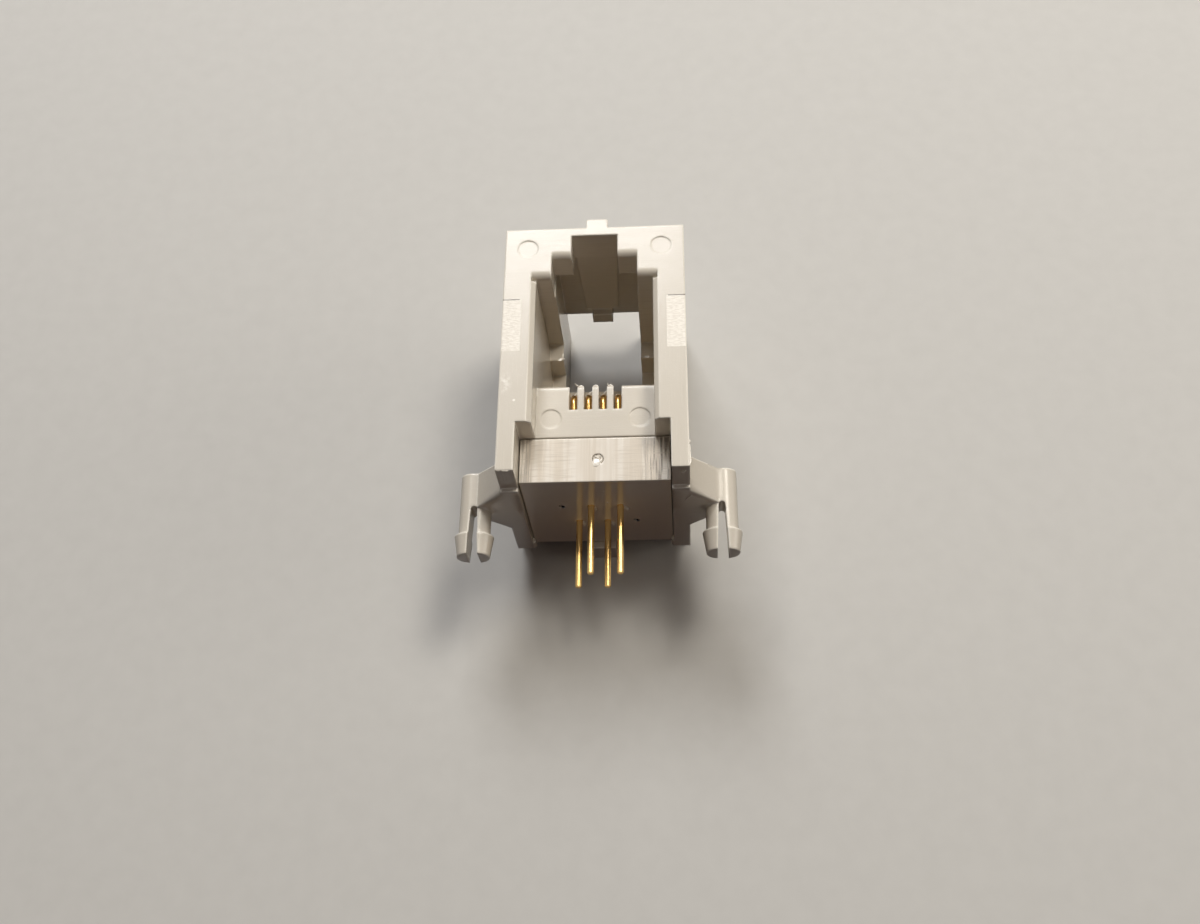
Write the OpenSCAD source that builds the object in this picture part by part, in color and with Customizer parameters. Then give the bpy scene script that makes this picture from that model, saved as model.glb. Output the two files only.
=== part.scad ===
// Board-mounted modular jack, four positions, side entry.
// It stands on its rear end: +Z is the way a plug is pulled out, -Y is the circuit board side.

/* [Housing] */
// Width across the two arms
body_w = 12.7; // [12.2:0.1:14]
// Height from the board seat to the latch side
body_h = 19.45; // [19:0.05:21]
// Depth from the rear end to the mating face
body_d = 14.7; // [14.4:0.1:17]
// Height of the arm ends over the board seat
arm_lift = 0.28; // [0.1:0.02:0.45]
// Depth of the relief over the arm ends, from the mating face
arm_relief_d = 2.75; // [1:0.05:3.1]
// Height of the relief at the rear board-side corner of each side wall
heel_h = 1.3; // [0.6:0.1:2.4]
// Depth of that relief, from the rear end
heel_d = 2.1; // [1:0.1:3]

/* [Locating tab] */
// Width of the tab on the latch side
tab_w = 1.56; // [1:0.02:2.4]
// How far the tab stands up
tab_h = 0.72; // [0.4:0.02:1.2]
// Length of the tab along the depth
tab_l = 2; // [1:0.1:5]
// Offset of the tab from the middle
tab_x = 0.17; // [-0.5:0.01:0.5]
// Corner radius of the tab
tab_r = 0.2; // [0.05:0.01:0.35]

/* [Plug port] */
// Width of the port at the plug stop
port_w = 8; // [7.8:0.05:8.4]
// Width of the port just inside its lead-in
mouth_w = 8.22; // [8.1:0.02:8.6]
// Width of the lead-in chamfer on each side
lead_w = 0.33; // [0.2:0.01:0.4]
// Depth of the lead-in chamfer
lead_d = 0.25; // [0.15:0.01:0.5]
// From the latch side to the ceiling of the port
ceiling_t = 4.1; // [3.7:0.05:4.4]
// From the mating face to the plug-stop ledges
stop_d = 9.05; // [8:0.05:9.6]
// Height of the plug-stop ledges under the ceiling
stop_h = 1.4; // [0.8:0.05:2]
// From the mating face to the rear wall
back_d = 11.3; // [10.6:0.05:11.7]
// Thickness of the rear wall, down to the rear recess
wall_t = 1.38; // [1.1:0.02:1.6]
// Radius of the lips that lead the plug in
lip_r = 0.45; // [0.1:0.05:0.6]

/* [Latch slot] */
// Wall over the latch slot
roof_t = 0.65; // [0.45:0.05:0.9]
// Depth of that wall, from the mating face
roof_d = 10.1; // [9.5:0.05:11]
// Width of the narrow slot between the latch stops
slot_w = 3.28; // [3.2:0.02:3.6]
// Width of the wide latch recess
latch_w = 6.06; // [6:0.02:6.4]
// From the latch side to the face of the latch stops
catch_t = 2.42; // [2.1:0.02:2.8]
// Depth of the latch stops
catch_d = 2.27; // [1.6:0.05:2.8]
// Width of the pocket behind the latch stops and of the rear opening
pocket_w = 5.9; // [5.6:0.05:6]
// From the latch side to the lower edge of the rear opening
open_h = 7.05; // [6.6:0.05:7.6]

/* [Latch rib] */
// How far the rib stands out of the latch wall
rib_t = 0.26; // [0.1:0.02:0.5]
// Width of the rib at the latch stops
rib_front_w = 3.04; // [2.6:0.02:3.2]
// Width of the rib at its foot
rib_foot_w = 2.48; // [2:0.02:2.6]
// From the mating face to the foot of the rib
rib_d = 9.06; // [7:0.02:9.2]
// Width of the toe at the foot
toe_w = 1.56; // [1:0.02:2]
// How far the toe stands out of the latch wall
toe_t = 0.82; // [0.5:0.02:1.2]

/* [Rear side] */
// Width of the middle rib and its foot
spine_w = 1.8; // [1.2:0.05:2.4]
// Width of the core pockets
core_w = 1.7; // [0.8:0.05:1.9]
// Height of the core pockets
core_h = 2.3; // [1:0.05:2.6]
// Wall over the core pockets, to the latch side
core_roof = 0.95; // [0.7:0.05:1.2]
// Wall beside the core pockets, to the outside
core_wall = 0.9; // [0.7:0.05:1.2]
// Depth of the core pockets
core_d = 11; // [4:0.5:12]

/* [Comb plate] */
// From the mating face to the comb plate
comb_d = 2.51; // [2:0.01:2.8]
// Height of the comb plate over the board seat
comb_top = 7.93; // [7.6:0.01:8.1]
// Thickness of the comb plate
comb_t = 1.5; // [1.2:0.05:1.8]
// Width of a comb slot
comb_slot_w = 0.56; // [0.52:0.01:0.62]
// Length of a comb slot
comb_slot_l = 1.91; // [1.6:0.01:2.2]
// Wall left in front of the wire grooves
comb_skin = 0.45; // [0.3:0.01:0.6]
// Radius of the plate's front edge
comb_r = 0.28; // [0.1:0.01:0.32]

/* [Contact block] */
// Width of the bay between the arms
bay_w = 10.32; // [10:0.02:10.6]
// Height of the block
block_h = 3.26; // [3:0.01:3.4]
// Height of its underside over the board seat
block_lift = 0.52; // [0.4:0.01:0.6]
// Clearance beside and over the block
block_gap = 0.08; // [0.03:0.01:0.12]
// Clearance between the block and the middle foot
foot_gap = 0.12; // [0.05:0.01:0.25]
// Diameter of the gate mark
gate_d = 0.8; // [0.4:0.02:1.2]
// Depth of the gate mark
gate_depth = 0.07; // [0.03:0.01:0.2]
// From the mating side's lower edge to the gate mark
gate_h = 1.67; // [1.2:0.01:2]
// Offset of the gate mark from the middle
gate_x = 0.2; // [-0.5:0.01:0.5]
// Diameter of the blind holes at the two unused positions
blind_d = 0.4; // [0.2:0.02:0.46]
// Depth of the blind holes
blind_depth = 0.3; // [0.1:0.05:0.8]
// Radius of the two beads that hold the block in
bead_r = 0.2; // [0.1:0.01:0.22]
// Length of the beads
bead_l = 0.9; // [0.4:0.1:2]

/* [Contacts] */
// Distance between neighbouring contacts
pitch = 1.02; // [1:0.01:1.04]
// Diameter of the wire
wire_d = 0.46; // [0.4:0.01:0.48]
// Distance between the two rows of pins
row_gap = 2.54; // [2.3:0.02:2.8]
// From the mating face to the front row of pins
row_d = 6.48; // [6:0.02:6.8]
// Length of the pins under the block
pin_l = 5.03; // [3.2:0.01:5.5]
// Chamfer of the pin tips
tip_step = 0.06; // [0.02:0.01:0.12]
// Inner bends of the wire, to its middle line
bend_r = 0.6; // [0.4:0.02:0.7]
// Bend at the comb, to the wire's middle line
spring_r = 0.9; // [0.7:0.02:1]
// Rise of the spring part toward the rear, in degrees
spring_rise = 25; // [22:0.5:26]
// Height of the start of that bend over the board seat
spring_h = 6.8; // [6.5:0.02:7]
// Clearance round the wire in the block and in the grooves
wire_gap = 0.04; // [0.02:0.01:0.05]
// How far the wire ends reach into the guides of the rear wall
guide_d = 0.4; // [0.2:0.05:0.6]
// Depth of those guides
guide_depth = 0.8; // [0.65:0.05:1]

/* [Ears and pegs] */
// Height of the ears over the board seat
ear_h = 2.6; // [1.5:0.1:3.5]
// Length of an ear along the side wall
ear_l = 5.6; // [4.8:0.1:6]
// From the mating face to the peg line
peg_d = 6; // [5.6:0.05:6.4]
// Distance between the middles of the two pegs
peg_span = 16.98; // [16.6:0.02:17.4]
// Diameter of a peg's rounded legs
leg_dia = 1.7; // [1.5:0.02:1.9]
// Distance between the middle lines of the two legs
leg_gap = 0.5; // [0.4:0.01:0.6]
// Length of a peg under the board seat
peg_l = 3.38; // [3.1:0.02:4]
// Diameter of a leg's barb
barb_dia = 2.22; // [2:0.02:2.4]
// Diameter of a leg's tip
tip_dia = 1.76; // [1.4:0.02:1.9]
// Length of peg between the seat and the barb
barb_grip = 1.8; // [1.6:0.05:2.2]
// Length of the barb's shoulder
barb_step = 0.12; // [0.05:0.01:0.2]
// Width of the split at its root
split_root = 0.46; // [0.3:0.02:0.5]
// Width of the split at the tips
split_tip = 0.76; // [0.52:0.02:0.9]
// How far the split runs into the ear
split_rise = 0.12; // [0.05:0.01:0.3]

/* [Moulding marks] */
// Diameter of the ejector marks
mark_d = 1.45; // [1:0.05:1.6]
// Depth of the ejector marks
mark_depth = 0.04; // [0.02:0.01:0.1]
// From the latch side to the upper marks
mark_top = 1.67; // [1.2:0.01:1.8]
// From the middle to the upper marks
mark_top_x = 4.72; // [4.4:0.01:5]
// Height of the comb plate's marks over the board seat
mark_comb_h = 5.34; // [5:0.01:6]
// From the middle to the comb plate's marks
mark_comb_x = 3.05; // [2.8:0.01:3.2]

/* [Hidden] */
$fn = 48;
positions = 4;
// How far a cut runs past a face, and how deep one shape is set into another
past = 1;
weld = 0.3;
// A straight stretch of wire is this much thinner than a bend, and reaches this far into it
bend_step = 0.002;
bend_seat = 0.02;
// Shares of a leg's radius for the ear's neck, and of a comb tooth's width for its round tip
neck_share = 0.78;
tip_share = 0.42;
grey = "#d0c8ba";
block_grey = "#cbc1b2";
gold = "#dba646";

// Heights over the board seat
block_top = block_lift + block_h;
seam_h = block_top + block_gap;
ceiling_h = body_h - ceiling_t;
ledge_h = ceiling_h - stop_h;
catch_h = body_h - catch_t;
roof_h = body_h - roof_t;
open_low = body_h - open_h;
bead_h = block_lift - block_gap - bead_r;
pin_tip = block_lift - pin_l;
pin_root = block_lift - bend_seat;
top_h = body_h + tab_h;
mid_h = (top_h + min(pin_tip, -peg_l)) / 2;

// Heights over the rear end
stop_z = body_d - stop_d;
back_z = body_d - back_d;
block_rear = back_z - wall_t;
roof_z = body_d - roof_d;
catch_z = body_d - catch_d;
rib_z = body_d - rib_d;
comb_z = body_d - comb_d;
comb_back = comb_z - comb_t;
peg_z = body_d - peg_d;

// Widths and places across the jack
mouth_out = mouth_w / 2 + lead_w;
block_w = bay_w - 2 * block_gap;
peg_x = peg_span / 2;
leg_r = leg_dia / 2;
groove_w = wire_d + 2 * wire_gap;
tooth_r = tip_share * (pitch - comb_slot_w);

// The wire's middle line: the run in the block, the rise behind the comb and the spring
wire_r = wire_d / 2;
run_h = block_top - wire_r - 2 * wire_gap;
rise_z = comb_z - comb_skin - wire_gap - wire_r;
spring_turn = 90 - spring_rise;
spring_y = spring_h + spring_r * sin(spring_turn);
spring_z = rise_z - spring_r * (1 - cos(spring_turn));
end_z = back_z - guide_d;
end_h = spring_y + (spring_z - end_z) * tan(spring_rise);

function contact_x(i) = (i - (positions + 1) / 2) * pitch;
function row_z(i) = body_d - row_d - (i % 2) * row_gap;

// Extrudes an outline drawn in X and Z along Y, from height a to height b
module rise(a, b) {
    translate([0, b, 0])
        rotate([90, 0, 0])
            linear_extrude(b - a)
                children();
}

// Extrudes an outline drawn in Y and Z along X, over a width w
module across(w) {
    translate([-w / 2, 0, 0])
        rotate([90, 0, 90])
            linear_extrude(w)
                children();
}

// Box in the middle of the jack, w wide
module slab(w, y0, y1, z0, z1) {
    translate([-w / 2, y0, z0])
        cube([w, y1 - y0, z1 - z0]);
}

module both_sides() {
    children();
    mirror([1, 0, 0])
        children();
}

// What a round takes off a square corner, which lies at the origin with its solid at -u and -v
module corner_waste(r) {
    difference() {
        translate([-r, -r])
            square(r + weld);
        translate([-r, -r])
            circle(r);
    }
}

// Plan of the plug port in X and Z, from height z0 to past the mating face
module port_plan(z0) {
    half = [
        if (z0 < stop_z) [port_w / 2, z0],
        [port_w / 2, stop_z],
        [mouth_w / 2, body_d - lead_d],
        [mouth_out, body_d],
        [mouth_out, body_d + past]
    ];
    last = len(half) - 1;
    other = [for (i = [last:-1:0]) [-half[i][0], half[i][1]]];
    polygon(concat(half, other));
}

module port() {
    rise(seam_h, ledge_h)
        port_plan(back_z);
    rise(ledge_h - weld, ceiling_h)
        port_plan(stop_z);
    // Rounded lips at the ceiling and at the latch stops
    across(2 * mouth_out)
        translate([ceiling_h, body_d])
            mirror([1, 0])
                corner_waste(lip_r);
    across(latch_w)
        translate([catch_h, body_d])
            mirror([1, 0])
                corner_waste(lip_r);
}

// Tapered rib under the latch wall, with the toe at its foot
module latch_rib() {
    rise(roof_h - rib_t, roof_h + past)
        polygon([
            [-rib_foot_w / 2, rib_z],
            [rib_foot_w / 2, rib_z],
            [rib_front_w / 2, catch_z],
            [-rib_front_w / 2, catch_z]
        ]);
    slab(toe_w, roof_h - toe_t, roof_h + past, roof_z, rib_z);
}

module latch_space() {
    // Wide recess in front
    slab(latch_w, ceiling_h - weld, catch_h, catch_z - weld, body_d + past);
    // Narrow slot between the stops, whose roof slopes down to the rib
    across(slot_w)
        polygon([
            [catch_h - weld, catch_z - weld],
            [roof_h - rib_t, catch_z - weld],
            [roof_h - rib_t, catch_z],
            [roof_h, body_d],
            [roof_h, body_d + past],
            [catch_h - weld, body_d + past]
        ]);
    // Pocket behind the stops, open to the rear
    difference() {
        slab(pocket_w, open_low, roof_h, -past, catch_z);
        latch_rib();
    }
    slab(pocket_w, roof_h - weld, body_h + past, -past, roof_z);
}

// Middle rib of the rear side, whose lower end is a foot on the board
module spine() {
    slab(spine_w, 0, open_low + past, 0, block_rear);
}

module rear_space() {
    difference() {
        slab(bay_w, -past, open_low, -past, block_rear);
        spine();
    }
    both_sides()
        translate([body_w / 2 - core_wall - core_w, body_h - core_roof - core_h, -past])
            cube([core_w, core_h, core_d + past]);
}

// Bay that takes the contact block, with the reliefs at both ends of the side walls
module block_bay() {
    slab(bay_w, -past, seam_h, block_rear - foot_gap, body_d + past);
    slab(body_w + past, -past, arm_lift, body_d - arm_relief_d, body_d + past);
    both_sides()
        translate([bay_w / 2 - weld, -past, -past])
            cube([body_w, heel_h + past, heel_d + past]);
}

// Slots in the rear wall that guide the free ends of the wires
module wire_guides() {
    for (i = [1:positions])
        translate([contact_x(i), 0, 0])
            slab(groove_w, comb_top, end_h + wire_d, back_z - guide_depth, back_z + weld);
}

module comb_outline() {
    difference() {
        translate([-mouth_out, seam_h])
            square([2 * mouth_out, comb_top - seam_h]);
        for (i = [1:positions])
            translate([contact_x(i), comb_top]) {
                translate([-comb_slot_w / 2, -comb_slot_l])
                    square([comb_slot_w, comb_slot_l + past]);
                // Round tips on the teeth
                translate([-comb_slot_w / 2, 0])
                    corner_waste(tooth_r);
                translate([comb_slot_w / 2, 0])
                    mirror([1, 0])
                        corner_waste(tooth_r);
            }
    }
}

module comb_plate() {
    difference() {
        translate([0, 0, comb_back])
            linear_extrude(comb_t)
                comb_outline();
        across(body_w)
            translate([comb_top, comb_z])
                corner_waste(comb_r);
        // Grooves for the wires in the back of the plate
        for (i = [1:positions])
            translate([contact_x(i), 0, 0])
                slab(comb_slot_w, seam_h - past, comb_top - comb_slot_l + weld,
                     comb_back - past, comb_z - comb_skin);
        both_sides()
            translate([mark_comb_x, mark_comb_h, comb_z - mark_depth])
                cylinder(d = mark_d, h = past);
    }
}

// Outline of a peg's shank in X and Z, round at both ends
module peg_plan() {
    for (side = [-1, 1])
        translate([peg_x + side * leg_gap / 2, peg_z])
            circle(leg_r);
    translate([peg_x - leg_gap / 2, peg_z - leg_r])
        square([leg_gap, leg_dia]);
}

// Ear with flanks that taper to the peg
module ear() {
    wall_x = body_w / 2;
    neck_z = neck_share * leg_r;
    rise(0, ear_h)
        polygon([
            [wall_x - weld, peg_z - ear_l / 2],
            [wall_x, peg_z - ear_l / 2],
            [peg_x, peg_z - neck_z],
            [peg_x, peg_z + neck_z],
            [wall_x, peg_z + ear_l / 2],
            [wall_x - weld, peg_z + ear_l / 2]
        ]);
}

// Barbed end of the leg on the +X side of a peg, round its own axis along -Y
module barb() {
    barb_l = peg_l - barb_grip;
    difference() {
        rotate([90, 0, 0])
            rotate_extrude()
                polygon([
                    [0, 0],
                    [leg_r, 0],
                    [barb_dia / 2, barb_step],
                    [tip_dia / 2, barb_l],
                    [0, barb_l]
                ]);
        translate([-barb_dia, -barb_l - past, -barb_dia])
            cube([barb_dia, barb_l + 2 * past, 2 * barb_dia]);
    }
}

// Split between the legs, wider at the tips and round at its root
module split() {
    root_h = split_rise - split_root / 2;
    translate([peg_x, 0, peg_z - barb_dia]) {
        linear_extrude(2 * barb_dia)
            polygon([
                [-split_root / 2, root_h],
                [-split_tip / 2, -peg_l],
                [-split_tip / 2, -peg_l - past],
                [split_tip / 2, -peg_l - past],
                [split_tip / 2, -peg_l],
                [split_root / 2, root_h]
            ]);
        translate([0, root_h, 0])
            cylinder(d = split_root, h = 2 * barb_dia);
    }
}

// Ear and snap-in peg of the +X side
module peg() {
    difference() {
        union() {
            ear();
            rise(-barb_grip, ear_h)
                peg_plan();
            translate([peg_x, -barb_grip, peg_z]) {
                translate([leg_gap / 2, 0, 0])
                    barb();
                mirror([1, 0, 0])
                    translate([leg_gap / 2, 0, 0])
                        barb();
            }
        }
        split();
    }
}

module locating_tab() {
    inner_w = tab_w - 2 * tab_r;
    translate([tab_x, 0, body_d - tab_l])
        linear_extrude(tab_l) {
            translate([-tab_w / 2, body_h - weld])
                square([tab_w, tab_h + weld - tab_r]);
            translate([-inner_w / 2, body_h])
                square([inner_w, tab_h]);
            for (side = [-1, 1])
                translate([side * inner_w / 2, top_h - tab_r])
                    circle(tab_r);
        }
}

// Beads on the side walls, under the rear corners of the contact block
module beads() {
    both_sides()
        translate([bay_w / 2, bead_h, heel_d])
            cylinder(r = bead_r, h = bead_l);
}

module housing() {
    color(grey)
        translate([0, -mid_h, 0]) {
            difference() {
                slab(body_w, 0, body_h, 0, body_d);
                port();
                latch_space();
                rear_space();
                block_bay();
                wire_guides();
                both_sides()
                    translate([mark_top_x, body_h - mark_top, body_d - mark_depth])
                        cylinder(d = mark_d, h = past);
            }
            comb_plate();
            locating_tab();
            beads();
            both_sides()
                peg();
        }
}

// Straight stretch of wire in the plane of Y and Z, set into the bends at both of its ends
module rod(from, to, r) {
    step = to - from;
    translate([0, from[0], from[1]])
        rotate([-atan2(step[0], step[1]), 0, 0])
            translate([0, 0, -bend_seat])
                cylinder(r = r - bend_step, h = norm(step) + 2 * bend_seat);
}

// Bend of the wire round a centre, with its angles counted from +Z toward +Y
module bend(centre, radius, a0, a1, r) {
    translate([0, centre[0], centre[1]])
        rotate([0, -90, 0])
            rotate([0, 0, a0])
                rotate_extrude(angle = a1 - a0)
                    translate([radius, 0])
                        circle(r);
}

// Free end of the wire under the block, with its tip chamfered
module pin(i) {
    translate([0, pin_tip, row_z(i)])
        rotate([-90, 0, 0]) {
            cylinder(r1 = wire_r - tip_step, r2 = wire_r, h = tip_step);
            translate([0, 0, tip_step])
                cylinder(r = wire_r, h = pin_root - pin_tip - tip_step);
        }
}

// The stretch of contact i from the block's underside to the comb
module lower_wire(i, r) {
    z = row_z(i);
    rod([pin_root, z], [run_h - bend_r, z], r);
    bend([run_h - bend_r, z + bend_r], bend_r, 90, 180, r);
    rod([run_h, z + bend_r], [run_h, rise_z - bend_r], r);
    bend([run_h + bend_r, rise_z - bend_r], bend_r, -90, 0, r);
    rod([run_h + bend_r, rise_z], [spring_h, rise_z], r);
}

// The formed wire of contact i over its pin, up to the spring end
module formed_wire(i) {
    lower_wire(i, wire_r);
    bend([spring_h, rise_z - spring_r], spring_r, 0, spring_turn, wire_r);
    rod([spring_y, spring_z], [end_h, end_z], wire_r);
}

module contact(i) {
    color(gold)
        translate([contact_x(i), -mid_h, 0]) {
            pin(i);
            formed_wire(i);
        }
}

module contact_block() {
    color(block_grey)
        translate([0, -mid_h, 0])
            difference() {
                slab(block_w, block_lift, block_top, block_rear, comb_z);
                for (i = [1:positions])
                    translate([contact_x(i), 0, 0]) {
                        lower_wire(i, wire_r + wire_gap);
                        // The wire is laid in from above
                        slab(groove_w, run_h, block_top + past, row_z(i), rise_z);
                    }
                translate([gate_x, block_lift + gate_h, comb_z - gate_depth])
                    cylinder(d = gate_d, h = past);
                for (i = [0, positions + 1])
                    translate([contact_x(i), block_lift + blind_depth, row_z(i)])
                        rotate([90, 0, 0])
                            cylinder(d = blind_d, h = blind_depth + past);
            }
}

housing();
contact_block();
contact(1);  // contact_1
contact(2);  // contact_2
contact(3);  // contact_3
contact(4);  // contact_4
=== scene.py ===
import bpy
import numpy as np
from mathutils import Matrix, Vector


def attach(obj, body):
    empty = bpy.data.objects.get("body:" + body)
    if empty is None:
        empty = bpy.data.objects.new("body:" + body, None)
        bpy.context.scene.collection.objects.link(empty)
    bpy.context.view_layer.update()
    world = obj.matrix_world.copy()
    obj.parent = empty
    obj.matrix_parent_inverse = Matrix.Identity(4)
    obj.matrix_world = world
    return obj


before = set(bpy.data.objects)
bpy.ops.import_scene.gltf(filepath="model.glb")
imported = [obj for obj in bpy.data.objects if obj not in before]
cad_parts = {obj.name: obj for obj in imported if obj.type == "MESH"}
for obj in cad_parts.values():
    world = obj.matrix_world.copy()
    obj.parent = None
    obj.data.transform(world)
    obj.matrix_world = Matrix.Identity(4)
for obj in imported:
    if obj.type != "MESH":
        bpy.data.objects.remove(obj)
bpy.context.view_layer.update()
mm = 0.001
print("frame loaded:", ", ".join(sorted(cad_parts)))


def hexToLinear(code):
    # sRGB hex to linear, with full alpha
    c = np.array([int(code[i:i + 2], 16) for i in (1, 3, 5)]) / 255
    c = np.where(c <= 0.04045, c / 12.92, ((c + 0.055) / 1.055) ** 2.4)
    return (*c.tolist(), 1.0)


def linearColours(look):
    # the hex colours of one look, by name
    return {name: hexToLinear(value) for name, value in look.items() if isinstance(value, str)}


def addNode(tree, kind, inputs=None, out=0, **settings):
    # one node: inputs are numbers or other nodes' sockets, settings are its own fields;
    # it gives the output that is asked for, or all of them for None
    node = tree.nodes.new("ShaderNode" + kind)
    for field, value in settings.items():
        setattr(node, field, value)
    for key, value in (inputs or {}).items():
        if isinstance(value, bpy.types.NodeSocket):
            tree.links.new(value, node.inputs[key])
        else:
            node.inputs[key].default_value = value
    return node.outputs if out is None else node.outputs[out]


def newMaterial(name):
    material = bpy.data.materials.new(name)
    material.use_nodes = True
    material.node_tree.nodes.clear()
    return material, material.node_tree


def seenDirectly(tree):
    # 1 to the camera, in reflections and through glass; 0 to rays that only carry light
    path = addNode(tree, "LightPath", out=None)
    seen = path["Is Camera Ray"]
    for ray in ("Is Glossy Ray", "Is Transmission Ray"):
        seen = addNode(tree, "Math", {0: seen, 1: path[ray]}, operation="MAXIMUM")
    return seen


# camera at the photograph's viewing angle: places in metres, lens and sensor in millimetres
camera = dict(place=(0.005655, -0.04325, 0.08710), lens=37.5, sensor=36.0, near=0.005, far=5,
              right=(0.99774, 0.00742, -0.06686), up=(0.02317, 0.89522, 0.44503),
              ahead=(-0.06316, 0.44557, -0.89302))
camData = bpy.data.cameras.new("camera")
camData.lens, camData.sensor_width, camData.sensor_fit = camera["lens"], camera["sensor"], "HORIZONTAL"
camData.clip_start, camData.clip_end = camera["near"], camera["far"]
cam = bpy.data.objects.new("camera", camData)
turn = Matrix((camera["right"], camera["up"], [-a for a in camera["ahead"]])).transposed()
cam.matrix_world = Matrix.Translation(camera["place"]) @ turn.to_4x4()
bpy.context.scene.collection.objects.link(cam)
bpy.context.scene.camera = cam
bpy.context.scene.view_settings.view_transform = "Standard"
print("camera set")

# soft boxes: one behind the jack for the sheen of the upper faces, one above at the right, a small one at
# the upper left for crisp highlights, a low one at the right, and faint low ones at the left and at the
# board side
lampAim = (0, 0, 0.008)
lamps = dict(
    behind=dict(place=(-0.045, 0.25, 0.26), wide=0.13, tall=0.13, power=0.68, tint="#fbfbfb"),
    key=dict(place=(0.11, 0.10, 0.30), wide=0.11, tall=0.11, power=0.50, tint="#fff8ec"),
    small=dict(place=(-0.12, 0.126, 0.300), wide=0.03, tall=0.05, power=0.06, tint="#fffaf2"),
    right=dict(place=(0.28, 0.02, 0.10), wide=0.14, tall=0.14, power=0.13, tint="#fff8ec"),
    left=dict(place=(-0.28, 0.02, 0.10), wide=0.14, tall=0.14, power=0.012, tint="#fff8ec"),
    front=dict(place=(0.06, -0.34, 0.045), wide=0.08, tall=0.08, power=0.025, tint="#ffdcd4"))
for name, lamp in lamps.items():
    data = bpy.data.lights.new(name, "AREA")
    data.shape, data.size, data.size_y = "RECTANGLE", lamp["wide"], lamp["tall"]
    data.energy, data.color = lamp["power"], hexToLinear(lamp["tint"])[:3]
    obj = bpy.data.objects.new(name, data)
    aim = Vector(lampAim) - Vector(lamp["place"])
    obj.matrix_world = Matrix.Translation(lamp["place"]) @ aim.to_track_quat("-Z", "Y").to_matrix().to_4x4()
    bpy.context.scene.collection.objects.link(obj)

# pale floor and world to the eye and to reflections, dimmer where they light the jack; lengths in metres
stageLook = dict(floor="#d6d5d2", speck="#cfcecb", bounce="#2c2624", sky="#e2e2e0", fill="#f4d8d0",
                 skyFill=0.05, half=1.6, speckMm=1.5, farFrom=0.08, farTo=0.32)
floorPaint, tree = newMaterial("matt_painted_board")
look, paint = stageLook, linearColours(stageLook)
seen = seenDirectly(tree)
place = addNode(tree, "TexCoord", out="Object")
fine = 1 / (look["speckMm"] * mm)
speck = addNode(tree, "TexNoise", {"Vector": place, "Scale": fine, "Detail": 3.0}, out="Fac")
tone = addNode(tree, "Mix", {0: speck, 6: paint["floor"], 7: paint["speck"]}, out=2, data_type="RGBA")
tone = addNode(tree, "Mix", {0: seen, 6: paint["bounce"], 7: tone}, out=2, data_type="RGBA")
matt = addNode(tree, "BsdfDiffuse", {"Color": tone})
# far from the jack the floor runs into the pale room, so that no dark rim stands behind it
reach = addNode(tree, "VectorMath", {0: place}, out="Value", operation="LENGTH")
far = addNode(tree, "MapRange", {0: reach, 1: look["farFrom"], 2: look["farTo"]},
              interpolation_type="SMOOTHSTEP")
room = addNode(tree, "Emission", {"Color": paint["sky"], "Strength": seen})
matt = addNode(tree, "MixShader", {0: far, 1: matt, 2: room})
addNode(tree, "OutputMaterial", {"Surface": matt}, out=None)
h = look["half"]
floorMesh = bpy.data.meshes.new("floor")
floorMesh.from_pydata([(-h, -h, 0), (h, -h, 0), (h, h, 0), (-h, h, 0)], [], [(0, 1, 2, 3)])
floorMesh.materials.append(floorPaint)
floor = bpy.data.objects.new("floor", floorMesh)
bpy.context.scene.collection.objects.link(floor)

world = bpy.data.worlds.new("soft_room")
world.use_nodes = True
bpy.context.scene.world = world
tree = world.node_tree
tree.nodes.clear()
seen = seenDirectly(tree)
level = addNode(tree, "MapRange", {0: seen, 3: look["skyFill"], 4: 1.0})
tint = addNode(tree, "Mix", {0: seen, 6: paint["fill"], 7: paint["sky"]}, out=2, data_type="RGBA")
sky = addNode(tree, "Background", {"Color": tint, "Strength": level})
addNode(tree, "OutputWorld", {"Surface": sky}, out=None)
print("lamps, floor and world set")

polyesterIor = 1.57  # both mouldings and what tore off them
bevelRays = 8
noiseLow, noiseHigh = 0.3, 0.7  # nearly all values of a noise lie between these

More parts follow.
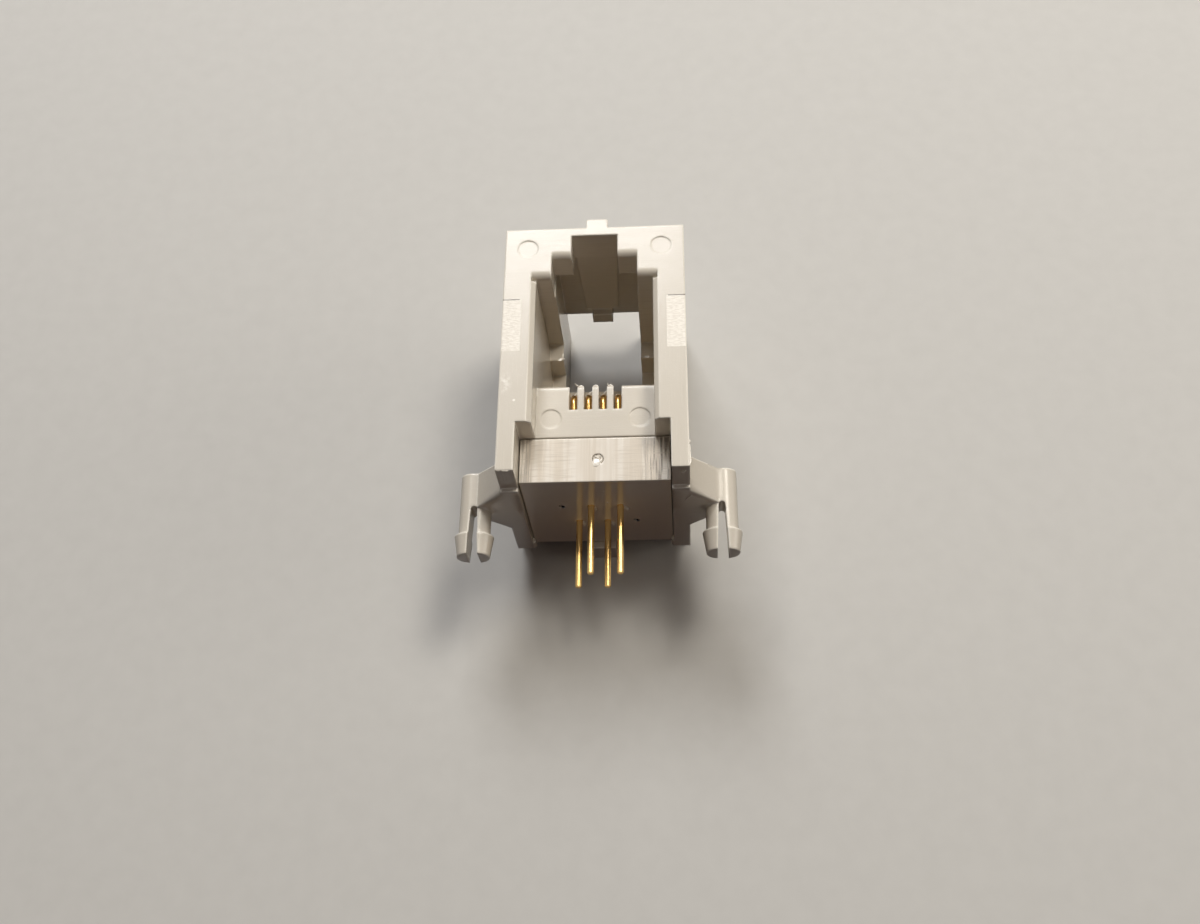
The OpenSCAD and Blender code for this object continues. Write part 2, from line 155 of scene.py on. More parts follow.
# housing: light grey thermoplastic polyester, injection moulded in an eroded steel tool; it gives a satin
# sheen, fine tool lines (across the upper bar and the comb, upright on the arms), a stippled patch on each
# arm under a thin seam of the tool, walls glossier along the draw, and a painted highlight along the edges,
# where they would catch the light; places and sizes are in millimetres, a pair says where something starts
# and where it is full, or its least and most, and the tool lines, finer in truth, are as coarse as they need
# to be to show
housingLook = dict(
    base="#d3cbbd", pale="#dbd4c7", line="#c6bdae", stipple="#fbf6ec", rubbed="#fdf9f0", edgeHighlight="#faf5ea",
    seam="#5a5248", rough=0.24, wallRough=0.20, stippleRough=0.46, wallUp=(0.3, 0.8), uneven=(-0.05, 0.06),
    flowMm=4.0, flowRough=0.55, grainMm=0.11, grainDepthMm=0.004, patchDepthMm=0.012,
    lineMm=0.09, lineLongMm=3.0, lineDepthMm=0.0025, lineFade=(0.54, 0.74), lineMost=0.5,
    stippleMm=0.10, stippleLongMm=0.34, dotFade=(0.42, 0.58), dotLeast=0.45,
    edgeMm=0.20, edgeFade=(0.998, 0.92),
    earEdgeMm=1.10, earTint=0.1, earY=-7.4, earHalf=0.5, earX=(8.3, 6.7), earTopZ=11.6, earZ=(7.9, 8.9),
    wallX=5.0, foldX=8.1, foldHalf=0.5, foldY=-7.5, foldSoft=0.45,
    portX=4.35, portY=0.4, portZ=(14.3, 14.0), portTint=0.3,
    plateX=4.1, plateY=-2.4, plateHalf=1.7, quietTint=0.12,
    faceZ=14.6, combZ=13.0, seamX=5.16, seamY=5.67, seamHalf=0.035, patchX=5.03, patchLowY=1.50,
    cloud=(-5.94, -1.0, 14.7), cloudHalf=(0.55, 0.95, 0.3), cloudFade=(1.0, 0.2),
    puffMm=0.35, puffFade=(0.42, 0.62), puffMost=0.7, fleck=(-5.28, -2.35, 14.7), fleckR=(0.11, 0.066))
housingPlastic, tree = newMaterial("moulded_polyester_light_grey")
look, paint = housingLook, linearColours(housingLook)
place = addNode(tree, "TexCoord", out="Object")
spot = addNode(tree, "VectorMath", {0: place, "Scale": 1 / mm}, operation="SCALE")  # millimetres
x, y, z = addNode(tree, "SeparateXYZ", {0: spot}, out=None)
side = addNode(tree, "Math", {0: x}, operation="ABSOLUTE")
flat = addNode(tree, "NewGeometry", out="Normal")
up = addNode(tree, "SeparateXYZ", {0: flat}, out="Z")
up = addNode(tree, "Math", {0: up}, operation="ABSOLUTE")
# soft edges: small everywhere, wide under the ears and side walls, half as wide in the right ear's fold
ear = addNode(tree, "Math", {0: y, 1: look["earY"], 2: look["earHalf"]}, operation="COMPARE")
near = addNode(tree, "MapRange", {0: side, 1: look["earX"][0], 2: look["earX"][1]})
beyond = addNode(tree, "Math", {0: side, 1: look["wallX"]}, operation="GREATER_THAN")
below = addNode(tree, "Math", {0: z, 1: look["earTopZ"]}, operation="LESS_THAN")
over = addNode(tree, "MapRange", {0: z, 1: look["earZ"][0], 2: look["earZ"][1]})
for mask in (near, beyond, below, over):
    ear = addNode(tree, "Math", {0: ear, 1: mask}, operation="MULTIPLY")
fold = addNode(tree, "Math", {0: x, 1: look["foldX"], 2: look["foldHalf"]}, operation="COMPARE")
over = addNode(tree, "Math", {0: y, 1: look["foldY"]}, operation="GREATER_THAN")
fold = addNode(tree, "Math", {0: fold, 1: over}, operation="MULTIPLY")
soft = addNode(tree, "Math", {0: fold, 1: look["foldSoft"]}, operation="MULTIPLY")
soft = addNode(tree, "Math", {0: soft, 1: ear}, operation="MAXIMUM")
radius = addNode(tree, "MapRange", {0: soft, 3: look["edgeMm"] * mm, 4: look["earEdgeMm"] * mm})
rounded = addNode(tree, "Bevel", {"Radius": radius}, out="Normal", samples=bevelRays)
# painted highlight: a pale tint along the rounded edges, where they would catch the light
facing = addNode(tree, "VectorMath", {0: rounded, 1: flat}, out="Value", operation="DOT_PRODUCT")
edgeHighlight = addNode(tree, "MapRange", {0: facing, 1: look["edgeFade"][0], 2: look["edgeFade"][1]})
# the painted edge highlight is weaker under the ears and down in the port, where less light falls,
# and in the fold and at the comb plate's marks
plain = addNode(tree, "MapRange", {0: ear, 3: 1.0, 4: look["earTint"]})
deep = addNode(tree, "MapRange", {0: z, 1: look["portZ"][0], 2: look["portZ"][1],
                                  3: 1.0, 4: look["portTint"]})
below = addNode(tree, "Math", {0: y, 1: look["portY"]}, operation="LESS_THAN")
beyond = addNode(tree, "Math", {0: side, 1: look["portX"]}, operation="GREATER_THAN")
for mask in (below, beyond):
    deep = addNode(tree, "Math", {0: deep, 1: mask}, operation="MAXIMUM")
plate = addNode(tree, "Math", {0: y, 1: look["plateY"], 2: look["plateHalf"]}, operation="COMPARE")
inside = addNode(tree, "Math", {0: side, 1: look["plateX"]}, operation="LESS_THAN")
plate = addNode(tree, "Math", {0: plate, 1: inside}, operation="MULTIPLY")
quiet = addNode(tree, "Math", {0: fold, 1: plate}, operation="MAXIMUM")
quiet = addNode(tree, "MapRange", {0: quiet, 3: 1.0, 4: look["quietTint"]})
for mask in (plain, deep, quiet):
    edgeHighlight = addNode(tree, "Math", {0: edgeHighlight, 1: mask}, operation="MULTIPLY")
# where the tool left its marks
onFace = addNode(tree, "Math", {0: z, 1: look["faceZ"]}, operation="GREATER_THAN")
patchMid, patchHalf = (look["seamY"] + look["patchLowY"]) / 2, (look["seamY"] - look["patchLowY"]) / 2
patch = addNode(tree, "Math", {0: y, 1: patchMid, 2: patchHalf}, operation="COMPARE")
beyond = addNode(tree, "Math", {0: side, 1: look["patchX"]}, operation="GREATER_THAN")
for mask in (onFace, beyond):
    patch = addNode(tree, "Math", {0: patch, 1: mask}, operation="MULTIPLY")
seam = addNode(tree, "Math", {0: y, 1: look["seamY"], 2: look["seamHalf"]}, operation="COMPARE")
beyond = addNode(tree, "Math", {0: side, 1: look["seamX"]}, operation="GREATER_THAN")
for mask in (onFace, beyond):
    seam = addNode(tree, "Math", {0: seam, 1: mask}, operation="MULTIPLY")
upper = addNode(tree, "Math", {0: y, 1: look["seamY"]}, operation="GREATER_THAN")
comb = addNode(tree, "Math", {0: z, 1: look["combZ"]}, operation="LESS_THAN")
across = addNode(tree, "Math", {0: upper, 1: comb}, operation="MAXIMUM")
# patterns: the flow of the resin, its grain, the tool lines, and the patches' stipple, drawn out sideways
flow = addNode(tree, "TexNoise", {"Vector": spot, "Scale": 1 / look["flowMm"], "Detail": 4.0,
                                  "Roughness": look["flowRough"]}, out="Fac")
grain = addNode(tree, "TexNoise", {"Vector": spot, "Scale": 1 / look["grainMm"], "Detail": 2.0}, out="Fac")
fine, long = 1 / look["lineMm"], 1 / look["lineLongMm"]
lengthwise = addNode(tree, "Mapping", {"Vector": spot, "Scale": (long, fine, fine)})
upright = addNode(tree, "Mapping", {"Vector": spot, "Scale": (fine, long, long)})
way = addNode(tree, "Mix", {0: across, 4: upright, 5: lengthwise}, out=1, data_type="VECTOR")
lines = addNode(tree, "TexNoise", {"Vector": way, "Scale": 1.0, "Detail": 3.0}, out="Fac")
worn = addNode(tree, "MapRange", {0: lines, 1: look["lineFade"][0], 2: look["lineFade"][1],
                                  4: look["lineMost"]})
fine, long = 1 / look["stippleMm"], 1 / look["stippleLongMm"]
way = addNode(tree, "Mapping", {"Vector": spot, "Scale": (long, fine, fine)})
dots = addNode(tree, "TexNoise", {"Vector": way, "Scale": 1.0, "Detail": 3.0}, out="Fac")
dots = addNode(tree, "MapRange", {0: dots, 1: look["dotFade"][0], 2: look["dotFade"][1],
                                  3: look["dotLeast"]})
dots = addNode(tree, "Math", {0: dots, 1: patch}, operation="MULTIPLY")
# a rubbed cloud and a fleck on the left arm
away = addNode(tree, "VectorMath", {0: spot, 1: look["cloud"]}, operation="SUBTRACT")
away = addNode(tree, "VectorMath", {0: away, 1: look["cloudHalf"]}, operation="DIVIDE")
away = addNode(tree, "VectorMath", {0: away}, out="Value", operation="LENGTH")
cloud = addNode(tree, "MapRange", {0: away, 1: look["cloudFade"][0], 2: look["cloudFade"][1]})
puff = addNode(tree, "TexNoise", {"Vector": spot, "Scale": 1 / look["puffMm"], "Detail": 4.0}, out="Fac")
puff = addNode(tree, "MapRange", {0: puff, 1: look["puffFade"][0], 2: look["puffFade"][1],
                                  4: look["puffMost"]})
cloud = addNode(tree, "Math", {0: cloud, 1: puff}, operation="MULTIPLY")
away = addNode(tree, "VectorMath", {0: spot, 1: look["fleck"]}, out="Value", operation="DISTANCE")
fleck = addNode(tree, "MapRange", {0: away, 1: look["fleckR"][0], 2: look["fleckR"][1]})
rubbed = addNode(tree, "Math", {0: cloud, 1: fleck}, operation="MAXIMUM")
# colour, each cover over the ones before it
tone = addNode(tree, "Mix", {0: flow, 6: paint["base"], 7: paint["pale"]}, out=2, data_type="RGBA")
for name, cover in dict(line=worn, stipple=dots, rubbed=rubbed, edgeHighlight=edgeHighlight, seam=seam).items():
    tone = addNode(tree, "Mix", {0: cover, 6: tone, 7: paint[name]}, out=2, data_type="RGBA")
# gloss and relief
rough = addNode(tree, "MapRange", {0: up, 1: look["wallUp"][0], 2: look["wallUp"][1],
                                   3: look["wallRough"], 4: look["rough"]})
rough = addNode(tree, "Mix", {0: patch, 2: rough, 3: look["stippleRough"]}, data_type="FLOAT")
uneven = addNode(tree, "MapRange", {0: lines, 1: noiseLow, 2: noiseHigh,
                                    3: look["uneven"][0], 4: look["uneven"][1]})
rough = addNode(tree, "Math", {0: rough, 1: uneven}, operation="ADD")
coarse = addNode(tree, "MapRange", {0: patch, 3: look["grainDepthMm"] * mm, 4: look["patchDepthMm"] * mm})
bump = addNode(tree, "Bump", {"Strength": 1.0, "Distance": coarse, "Height": grain, "Normal": rounded})
bump = addNode(tree, "Bump", {"Strength": 1.0, "Distance": look["lineDepthMm"] * mm, "Height": lines,
                              "Normal": bump})
skin = addNode(tree, "BsdfPrincipled", {"Base Color": tone, "Roughness": rough, "IOR": polyesterIor,
                                        "Normal": bump})
addNode(tree, "OutputMaterial", {"Surface": skin}, out=None)

# contact block: the same resin from another tool, its base painted paler than the housing's to stand in for
# the sheen of its front; the front shows drag streaks at both ends, painted reflections as pale upright bands
# in the middle and short scuffs across, its edges carry a painted highlight, and its underside is glossy;
# sizes and pairs are as above
blockLook = dict(
    base="#e2d8c9", pale="#f6f0e6", streak="#948a7f", scuff="#cfc5b6", edgeHighlight="#efe8db", holeShade="#0d0a08",
    rough=0.24, underRough=0.10, underTurn=(-0.5, -0.8), frontTurn=0.9, uneven=(-0.03, 0.05),
    flowMm=3.0, flowRough=0.55, grainMm=0.10, grainDepthMm=0.003,
    edgeMm=0.14, edgeFade=(0.995, 0.86), edgeMost=0.8,
    streakMm=0.10, streakLongMm=3.5, streakDepthMm=0.004, streakFade=(0.47, 0.57), inwardMm=5.0,
    leftEnd=(-4.0, -4.5), leftMost=0.6, rightEnd=(2.9, 3.8),
    bandMm=0.55, bandLongMm=20.0, bandFade=(0.40, 0.60), bandMost=1.5,
    scuffMm=0.055, scuffLongMm=1.6, scuffFade=(0.50, 0.64), scuffMost=0.6, scuffX=(1.1, 1.7),
    holeX=2.55, holeZ=6.95, holeTilt=0.498, holeR=(0.23, 0.20))
blockPlastic, tree = newMaterial("moulded_polyester_contact_block")
look, paint = blockLook, linearColours(blockLook)
place = addNode(tree, "TexCoord", out="Object")
spot = addNode(tree, "VectorMath", {0: place, "Scale": 1 / mm}, operation="SCALE")  # millimetres
x, _, z = addNode(tree, "SeparateXYZ", {0: spot}, out=None)
side = addNode(tree, "Math", {0: x}, operation="ABSOLUTE")
flat = addNode(tree, "NewGeometry", out="Normal")
turned = addNode(tree, "SeparateXYZ", {0: flat}, out=None)
front = addNode(tree, "Math", {0: turned["Z"], 1: look["frontTurn"]}, operation="GREATER_THAN")
rounded = addNode(tree, "Bevel", {"Radius": look["edgeMm"] * mm}, out="Normal", samples=bevelRays)
# painted highlight: a pale tint along the block's rounded edges, where they would catch the light
facing = addNode(tree, "VectorMath", {0: rounded, 1: flat}, out="Value", operation="DOT_PRODUCT")
edgeHighlight = addNode(tree, "MapRange", {0: facing, 1: look["edgeFade"][0], 2: look["edgeFade"][1],
                                  4: look["edgeMost"]})
# patterns: flow and grain, streaks and painted reflection bands up the front, scuffs across it
flow = addNode(tree, "TexNoise", {"Vector": spot, "Scale": 1 / look["flowMm"], "Detail": 4.0,
                                  "Roughness": look["flowRough"]}, out="Fac")
grain = addNode(tree, "TexNoise", {"Vector": spot, "Scale": 1 / look["grainMm"], "Detail": 2.0}, out="Fac")
inward = 1 / look["inwardMm"]
fine, long = 1 / look["streakMm"], 1 / look["streakLongMm"]
way = addNode(tree, "Mapping", {"Vector": spot, "Scale": (fine, long, inward)})
drag = addNode(tree, "TexNoise", {"Vector": way, "Scale": 1.0, "Detail": 3.0}, out="Fac")
fine, long = 1 / look["bandMm"], 1 / look["bandLongMm"]
way = addNode(tree, "Mapping", {"Vector": spot, "Scale": (fine, long, long)})
reflectionBands = addNode(tree, "TexNoise", {"Vector": way, "Scale": 1.0, "Detail": 2.0}, out="Fac")
fine, long = 1 / look["scuffMm"], 1 / look["scuffLongMm"]
way = addNode(tree, "Mapping", {"Vector": spot, "Scale": (long, fine, inward)})
scuffs = addNode(tree, "TexNoise", {"Vector": way, "Scale": 1.0, "Detail": 2.0}, out="Fac")
# how far the drag reaches in from each end
left = addNode(tree, "MapRange", {0: x, 1: look["leftEnd"][0], 2: look["leftEnd"][1], 4: look["leftMost"]})
right = addNode(tree, "MapRange", {0: x, 1: look["rightEnd"][0], 2: look["rightEnd"][1]})
ends = addNode(tree, "Math", {0: left, 1: right}, operation="MAXIMUM")
dark = addNode(tree, "MapRange", {0: drag, 1: look["streakFade"][0], 2: look["streakFade"][1]})
reflectionBands = addNode(tree, "MapRange", {0: reflectionBands, 1: look["bandFade"][0], 2: look["bandFade"][1],
                                   4: look["bandMost"]})
scuffs = addNode(tree, "MapRange", {0: scuffs, 1: look["scuffFade"][0], 2: look["scuffFade"][1],
                                    4: look["scuffMost"]})
beside = addNode(tree, "MapRange", {0: side, 1: look["scuffX"][0], 2: look["scuffX"][1]})
for mask in (ends, front):
    dark = addNode(tree, "Math", {0: dark, 1: mask}, operation="MULTIPLY")
for mask in (flow, front):
    reflectionBands = addNode(tree, "Math", {0: reflectionBands, 1: mask}, operation="MULTIPLY")
for mask in (beside, front):
    scuffs = addNode(tree, "Math", {0: scuffs, 1: mask}, operation="MULTIPLY")
# painted shade: two blind holes in the underside, with the shade inside them painted near black
tilt = addNode(tree, "Math", {0: x, 1: look["holeTilt"], 2: z}, operation="MULTIPLY_ADD")
tilt = addNode(tree, "Math", {0: tilt, 1: look["holeZ"]}, operation="SUBTRACT")
apart = addNode(tree, "Math", {0: side, 1: look["holeX"]}, operation="SUBTRACT")
apart = addNode(tree, "CombineXYZ", {0: apart, 2: tilt})
apart = addNode(tree, "VectorMath", {0: apart}, out="Value", operation="LENGTH")
holeShade = addNode(tree, "MapRange", {0: apart, 1: look["holeR"][0], 2: look["holeR"][1]})
# colour: the pale bands are a painted reflection, and each cover goes over the ones before it
tone = addNode(tree, "Mix", {0: reflectionBands, 6: paint["base"], 7: paint["pale"]}, out=2, data_type="RGBA")
for name, cover in dict(streak=dark, scuff=scuffs, edgeHighlight=edgeHighlight, holeShade=holeShade).items():
    tone = addNode(tree, "Mix", {0: cover, 6: tone, 7: paint[name]}, out=2, data_type="RGBA")
# gloss and relief
rough = addNode(tree, "MapRange", {0: turned["Y"], 1: look["underTurn"][0], 2: look["underTurn"][1],
                                   3: look["rough"], 4: look["underRough"]})
uneven = addNode(tree, "MapRange", {0: drag, 1: noiseLow, 2: noiseHigh,
                                    3: look["uneven"][0], 4: look["uneven"][1]})
uneven = addNode(tree, "Math", {0: uneven, 1: front}, operation="MULTIPLY")
rough = addNode(tree, "Math", {0: rough, 1: uneven}, operation="ADD")
bump = addNode(tree, "Bump", {"Strength": 1.0, "Distance": look["grainDepthMm"] * mm, "Height": grain,
                              "Normal": rounded})
bump = addNode(tree, "Bump", {"Strength": 1.0, "Distance": look["streakDepthMm"] * mm, "Height": dark,
                              "Normal": bump})
skin = addNode(tree, "BsdfPrincipled", {"Base Color": tone, "Roughness": rough, "IOR": polyesterIor,
                                        "Normal": bump})
addNode(tree, "OutputMaterial", {"Surface": skin}, out=None)

# contacts: phosphor bronze wire, drawn and gold plated; it gives a warm bright metal with fine lines along
# the wire, which are finer in truth and are as coarse as they need to be to show
wireLook = dict(base="#e9c687", deep="#cfa25c", rough=(0.12, 0.25), lineMm=0.04, lineLongMm=1.6,
                lineDepthMm=0.002, relief=0.6)
goldWire, tree = newMaterial("gold_plated_drawn_bronze")
look, paint = wireLook, linearColours(wireLook)
place = addNode(tree, "TexCoord", out="Object")
fine, long = 1 / (look["lineMm"] * mm), 1 / (look["lineLongMm"] * mm)
way = addNode(tree, "Mapping", {"Vector": place, "Scale": (fine, long, fine)})
lines = addNode(tree, "TexNoise", {"Vector": way, "Scale": 1.0, "Detail": 2.0}, out="Fac")
tone = addNode(tree, "Mix", {0: lines, 6: paint["deep"], 7: paint["base"]}, out=2, data_type="RGBA")
rough = addNode(tree, "MapRange", {0: lines, 1: noiseLow, 2: noiseHigh,
                                   3: look["rough"][0], 4: look["rough"][1]})
bump = addNode(tree, "Bump", {"Strength": look["relief"], "Distance": look["lineDepthMm"] * mm,
                              "Height": lines})
skin = addNode(tree, "BsdfPrincipled", {"Base Color": tone, "Metallic": 1.0, "Roughness": rough,
                                        "Normal": bump})
addNode(tree, "OutputMaterial", {"Surface": skin}, out=None)

slotLooks = dict(housing_plastic=housingPlastic, block_plastic=blockPlastic, plated_wire=goldWire)
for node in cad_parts.values():
    for nodeSlot in node.material_slots:
        nodeSlot.material = slotLooks[nodeSlot.material.name.split(".")[0]]
print("materials given to the nodes")

# flash and torn crumbs: the same polyester where it leaked between the tool's halves or tore; it is thin
# and whitened, with a glossy torn face
flashLook = dict(pale="#f6f1e7", grey="#d6cfc2", rough=0.20, mottleMm=0.12, mottleDepthMm=0.004, relief=0.7)
tornPlastic, tree = newMaterial("torn_polyester_flash")
look, paint = flashLook, linearColours(flashLook)
place = addNode(tree, "TexCoord", out="Object")
fine = 1 / (look["mottleMm"] * mm)
mottle = addNode(tree, "TexNoise", {"Vector": place, "Scale": fine, "Detail": 3.0}, out="Fac")
tone = addNode(tree, "Mix", {0: mottle, 6: paint["grey"], 7: paint["pale"]}, out=2, data_type="RGBA")
bump = addNode(tree, "Bump", {"Strength": look["relief"], "Distance": look["mottleDepthMm"] * mm,
                              "Height": mottle})
skin = addNode(tree, "BsdfPrincipled", {"Base Color": tone, "Roughness": look["rough"], "IOR": polyesterIor,
                                        "Normal": bump})
addNode(tree, "OutputMaterial", {"Surface": skin}, out=None)


def closedSkin(name, rings, skinLook):
    # each ring of points is joined to the next one, and the first and last ring close to their own middles
    rows, cols = rings.shape[:2]
    middles = [rings[0].mean(0)[None], rings[-1].mean(0)[None]]
    points = np.concatenate([rings.reshape(-1, 3), *middles]) * mm
    i, j = np.meshgrid(np.arange(rows - 1), np.arange(cols), indexing="ij")
    k = (j + 1) % cols
    quads = np.stack([i * cols + j, i * cols + k, (i + 1) * cols + k, (i + 1) * cols + j], -1)
    quads = quads.reshape(-1, 4)
    c = np.arange(cols)
    n = (c + 1) % cols
    first = np.stack([n, c, np.full(cols, rows * cols)], -1)
    start = (rows - 1) * cols
    last = np.stack([c + start, n + start, np.full(cols, rows * cols + 1)], -1)
    tris = np.concatenate([quads[:, [0, 1, 2]], quads[:, [0, 2, 3]], first, last])
    a, b, d = (points[tris[:, corner]] - points.mean(0) for corner in range(3))
    inward = np.einsum("ij,ij->", a, np.cross(b, d)) < 0
    mesh = bpy.data.meshes.new(name)
    mesh.from_pydata(points.tolist(), [], quads.tolist() + first.tolist() + last.tolist())
    if inward:
        mesh.flip_normals()
    mesh.polygons.foreach_set("use_smooth", np.ones(len(mesh.polygons), bool))
    mesh.materials.append(skinLook)
    piece = bpy.data.objects.new(name, mesh)
    bpy.context.scene.collection.objects.link(piece)
    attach(piece, "root")


def flashFin(a, b, c, across, wide, thick, ragged=0.0, turn=0.0, hair=False):
    # a flat oval carried along the quadratic curve a, b, c: its half width lies along 'across' and follows
    # the root of sin(pi t), or thins to a point for a hair, with two waves of raggedness; its half thickness
    # thins with it
    steps, sides, ends = 22, 12, 0.02
    t = np.linspace(ends, 1 - ends, steps)[:, None]
    a, b, c = np.array(a), np.array(b), np.array(c)
    path = (1 - t) ** 2 * a + 2 * t * (1 - t) * b + t ** 2 * c
    ahead = 2 * (1 - t) * (b - a) + 2 * t * (c - b)
    ahead /= np.linalg.norm(ahead, axis=1, keepdims=True)
    over = np.cross(ahead, across)
    over /= np.linalg.norm(over, axis=1, keepdims=True)
    outward = np.cross(over, ahead)
    swell = (1 - t) ** 0.6 if hair else np.sin(np.pi * t) ** 0.5
    wave = 1 + ragged * (0.6 * np.sin(9 * t + turn) + 0.4 * np.sin(23 * t + 2 * turn))
    angle = np.linspace(0, 2 * np.pi, sides, endpoint=False)[None, :, None]
    width = outward[:, None] * (wide * swell * wave)[..., None] * np.cos(angle)
    depth = over[:, None] * (thick * swell)[..., None] * np.sin(angle)
    return path[:, None] + width + depth


def discRings(sides, outRings, backRings, first):
    # rings that widen from 'first' of the radius to the rim and run back underneath, and which lie on top
    angle = np.linspace(0, 2 * np.pi, sides, endpoint=False)[None]
    r = np.concatenate([np.linspace(first, 1, outRings), np.linspace(0.9, 0.1, backRings)])[:, None]
    onTop = (np.arange(outRings + backRings) < outRings)[:, None]
    return angle, r, onTop


def tornCrumb(middle, out, along, wide, long, height, lean=(0, 0, 0), ragged=0.3, turn=0.0, sink=0.02):
    # a crumb on a face: rings widen from the top to a wavy outline with height (1 - r r) to the 0.7, then
    # run back under the face by 'sink'; the top is pushed over by 'lean'
    out, along = np.array(out, float), np.array(along, float)
    out, along = out / np.linalg.norm(out), along / np.linalg.norm(along)
    beside = np.cross(out, along)
    angle, r, onTop = discRings(sides=20, outRings=8, backRings=3, first=0.08)
    wave = 0.5 * np.sin(2 * angle + turn) + 0.3 * np.sin(3 * angle + 2.1 * turn)
    wave = 1 + ragged * (wave + 0.2 * np.sin(5 * angle + 3.7 * turn))
    lumps = 1 + 0.5 * ragged * r * np.sin(4 * angle + turn)
    rise = np.where(onTop, (1 - r * r) ** 0.7 * lumps, 0.0)
    u, v = long * r * wave * np.cos(angle), wide * r * wave * np.sin(angle)
    depth = height * rise - np.where(onTop, 0.0, sink)
    flatPart = np.array(middle) + u[..., None] * along + v[..., None] * beside
    return flatPart + depth[..., None] * out + rise[..., None] * np.array(lean)


def gateDish(middle, radius, low, rise, ripple, sink):
    # a torn dish in the gate's recess: over a disc, its face rises towards the board side with the fourth
    # power of the way across, plus a ripple that is strongest at the far side; then it runs back under itself
    angle, r, onTop = discRings(sides=36, outRings=14, backRings=4, first=0.04)
    u, v = r * np.cos(angle), r * np.sin(angle)
    waves = np.sin(8 * u + 3 * v + 1) * np.sin(6 * v + 2 * u) * (0.3 + 0.7 * (v > 0))
    face = low + rise * ((1 - v) / 2) ** 4 + ripple * waves
    depth = np.where(onTop, face, -sink)
    return np.array(middle) + np.stack([radius * u, radius * v, depth], -1)


# thin flash on the comb's teeth, with a curl and a spike, slivers in its slots, and flash along edges of
# the arms and a latch stop, with a scratch under an ear; millimetres
down, east, north = (0, -1, 0), (1, 0, 0), (0, 1, 0)
tooth = dict(across=(0, 1, 0.3), thick=0.07)
sliver = dict(across=(0.55, -0.83, 0), wide=0.065, thick=0.03, hair=True)
fins = dict(
    toothFlash1=dict(a=(-1.23, 0.05, 12.00), b=(-1.02, 0.10, 12.01), c=(-0.81, 0.05, 12.00),
                     wide=0.12, ragged=0.08, turn=0.4, **tooth),
    toothFlash2=dict(a=(-0.21, 0.05, 12.00), b=(0.00, 0.11, 12.01), c=(0.21, 0.05, 12.00),
                     wide=0.13, ragged=0.05, turn=1.7, **tooth),
    toothFlash3=dict(a=(0.80, 0.05, 12.00), b=(1.02, 0.10, 12.01), c=(1.23, 0.05, 12.00),
                     wide=0.13, ragged=0.20, turn=2.9, **tooth),
    toothCurl=dict(a=(-1.19, 0.08, 12.05), b=(-1.34, 0.13, 12.14), c=(-1.46, 0.29, 12.20),
                   across=(0.5, 0.6, 0.6), wide=0.075, thick=0.045, hair=True),
    toothSpike=dict(a=(0.86, 0.08, 12.05), b=(0.86, 0.16, 12.08), c=(0.84, 0.29, 12.10),
                    across=east, wide=0.05, thick=0.035, hair=True),
    armFringe=dict(a=(6.34, -5.90, 14.67), b=(6.36, -6.70, 14.67), c=(6.34, -7.50, 14.67),
                   across=east, wide=0.09, thick=0.02, ragged=0.75, turn=0.9),
    stopFlash=dict(a=(-1.66, 9.16, 14.35), b=(-1.62, 9.22, 14.00), c=(-1.66, 9.34, 13.60),
                   across=east, wide=0.06, thick=0.03, ragged=0.4, turn=2.2),
    earScratch=dict(a=(6.05, -7.83, 10.05), b=(6.20, -7.84, 10.60), c=(6.47, -7.83, 10.84),
                    across=(1, 0, -0.5), wide=0.07, thick=0.06, ragged=0.5, turn=0.3),
    endFlash=dict(a=(-6.30, -7.55, 14.66), b=(-5.80, -7.57, 14.66), c=(-5.30, -7.55, 14.66),
                  across=north, wide=0.06, thick=0.025, ragged=0.8, turn=1.4),
    slotSliver1=dict(a=(-1.24, -0.38, 11.95), b=(-1.36, -0.44, 11.93), c=(-1.52, -0.58, 11.90), **sliver),
    slotSliver2=dict(a=(-0.22, -0.28, 11.95), b=(-0.36, -0.34, 11.93), c=(-0.52, -0.48, 11.90), **sliver),
    slotSliver3=dict(a=(0.80, -0.27, 11.95), b=(0.68, -0.33, 11.93), c=(0.52, -0.47, 11.90), **sliver))
for name, shape in fins.items():
    closedSkin(name, flashFin(**shape), tornPlastic)

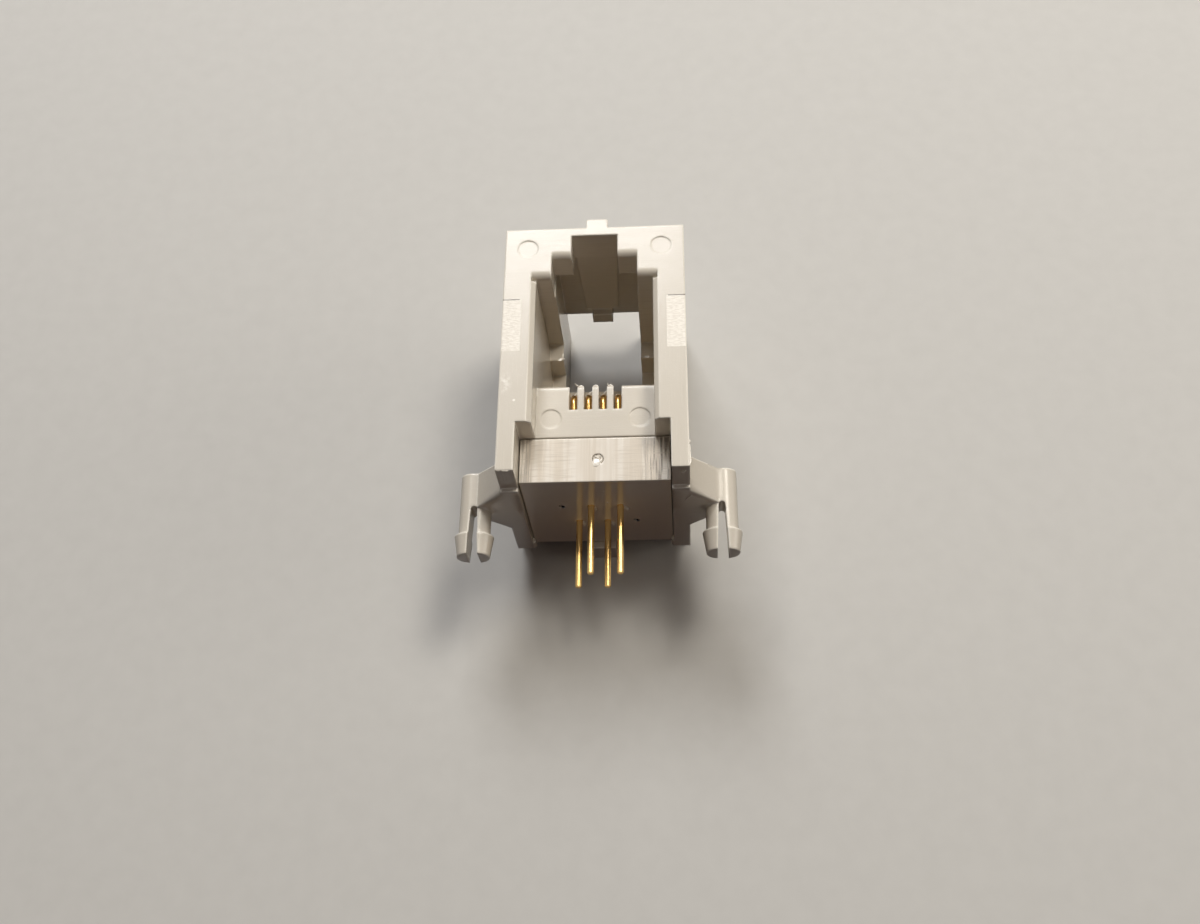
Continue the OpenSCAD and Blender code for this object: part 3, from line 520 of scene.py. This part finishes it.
# crumbs torn up where the pins leave the block, specks under it, and the torn gate scar on its front
blockCrumbs = dict(
    pinCrumb1=dict(middle=(-1.22, -7.31, 5.50), out=down, along=(0.3, 0, -1),
                   wide=0.112, long=0.208, height=0.256, lean=(0.03, 0, -0.05), turn=0.5),
    pinCrumb2=dict(middle=(-0.20, -7.31, 7.85), out=down, along=(0.1, 0, -1),
                   wide=0.064, long=0.224, height=0.128, lean=(0.02, 0, -0.04), turn=1.3),
    pinCrumb3=dict(middle=(0.84, -7.31, 5.35), out=down, along=(0.5, 0, -1),
                   wide=0.072, long=0.288, height=0.192, lean=(0.05, 0, -0.06), turn=2.4),
    pinCrumb4=dict(middle=(1.90, -7.31, 8.00), out=down, along=(0.7, 0, -1),
                   wide=0.096, long=0.384, height=0.224, lean=(0.06, 0, -0.05), turn=3.6),
    underSpeck1=dict(middle=(0.51, -7.31, 10.53), out=down, along=east,
                     wide=0.05, long=0.06, height=0.02, turn=0.2),
    underSpeck2=dict(middle=(0.66, -7.31, 8.80), out=down, along=(1, 0, -0.9),
                     wide=0.03, long=0.13, height=0.05, turn=4.1),
    gateChip1=dict(middle=(0.10, -5.52, 12.13), out=(0, 0.3, 1), along=(1, -0.45, 0),
                   wide=0.035, long=0.22, height=0.06, turn=1.1),
    gateLip=dict(middle=(0.10, -5.88, 12.165), out=(-0.04, 0.09, 1), along=(1, 0, 0.04),
                 wide=0.36, long=0.30, height=0.04, lean=(0, -0.03, 0), ragged=0.14, turn=0.7, sink=0.06),
    gateChip2=dict(middle=(0.36, -5.44, 12.13), out=(0, 0.2, 1), along=(0.4, -1, 0),
                   wide=0.05, long=0.13, height=0.04, turn=2.0))
for name, shape in blockCrumbs.items():
    closedSkin(name, tornCrumb(**shape), tornPlastic)
gateScar = dict(middle=(0.20, -5.64, 12.12), radius=0.385, low=0.012, rise=0.04, ripple=0.012, sink=0.01)
closedSkin("gateScar", gateDish(**gateScar), blockPlastic)

# specks and bits that cling to the arms, and flat burrs on the plug-stop ledges
housingCrumbs = dict(
    armSpeck=dict(middle=(5.89, -7.55, 13.96), out=(0, -1, 0.3), along=(1, 0, 0.6),
                  wide=0.09, long=0.21, height=0.17, lean=(0, 0, 0.06), turn=0.8),
    fringeBit1=dict(middle=(6.34, -5.73, 14.60), out=east, along=north,
                    wide=0.07, long=0.15, height=0.10, turn=0.6),
    fringeBit2=dict(middle=(6.34, -6.54, 14.60), out=east, along=north,
                    wide=0.07, long=0.13, height=0.12, turn=2.2),
    ledgeBurr1=dict(middle=(-3.12, 6.20, 5.66), out=(0.24, -0.13, 0.96), along=(1, 0.4, -0.2),
                    wide=0.12, long=0.25, height=0.010, sink=0.06, turn=1.2),
    ledgeBurr2=dict(middle=(-2.99, 6.60, 5.66), out=(0.24, -0.13, 0.96), along=(0.3, 1, 0.06),
                    wide=0.07, long=0.15, height=0.006, sink=0.04, turn=0.1),
    ledgeBurr3=dict(middle=(3.33, 6.22, 5.66), out=(-0.19, -0.10, 0.98), along=(1, 0, 0.19),
                    wide=0.12, long=0.27, height=0.008, sink=0.06, turn=2.6),
    armNick=dict(middle=(-5.23, -5.48, 14.57), out=(0.8, 0, 0.6), along=north,
                 wide=0.07, long=0.15, height=0.05, turn=1.9))
for name, shape in housingCrumbs.items():
    closedSkin(name, tornCrumb(**shape), tornPlastic)
print("flash and crumbs made:", len(fins) + len(blockCrumbs) + len(housingCrumbs) + 1)
